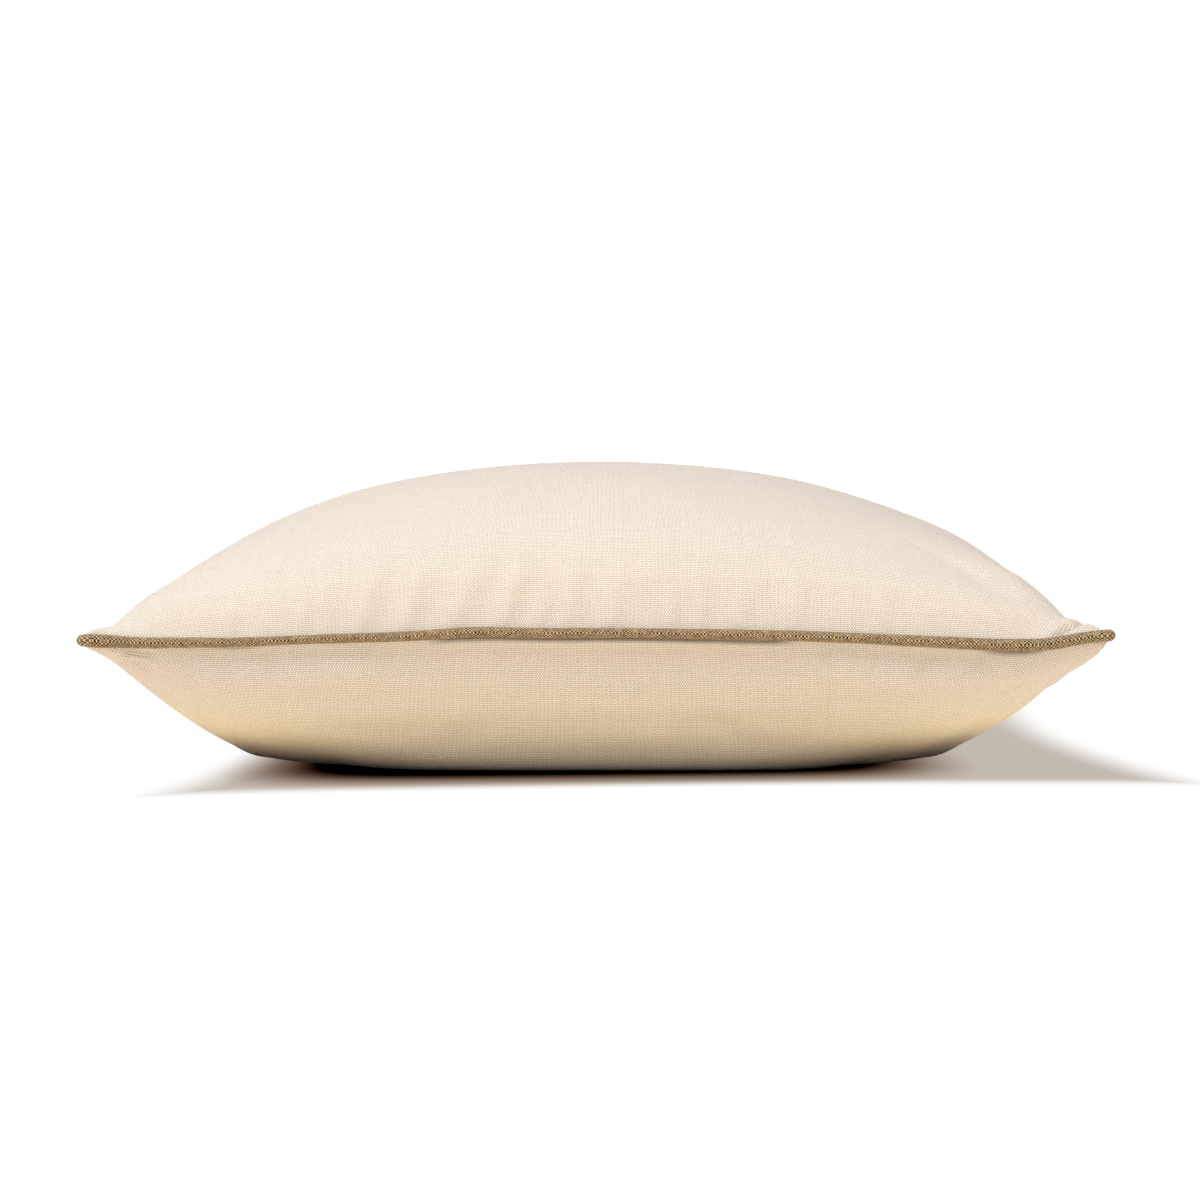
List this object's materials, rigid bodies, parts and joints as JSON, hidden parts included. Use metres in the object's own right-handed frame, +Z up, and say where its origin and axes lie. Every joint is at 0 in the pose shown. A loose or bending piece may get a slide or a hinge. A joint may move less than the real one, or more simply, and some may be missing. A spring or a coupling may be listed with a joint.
{
  "type": "euro pillow",
  "caption": "Square filled bed pillow with a high crown, drawn-in sides, flattened corner tips and a ring of covered piping sewn into its seam, lying on its back panel.",
  "frame": {"origin": "on the surface the pillow lies on, under the middle of its bounding box", "axes": "+Z up out of the front panel, X along the side shown in the picture, +Y away from the viewer of that side"},
  "size_m": [0.645, 0.645, 0.2077],
  "materials": {
    "cover_canvas": "matte cream plain-weave canvas with fine ribs",
    "piping_canvas": "matte taupe plain-weave canvas over a round cord"
  },
  "bodies": {
    "root": {"cushion": "cover_canvas", "piping": "piping_canvas"}
  },
  "joints": []
}
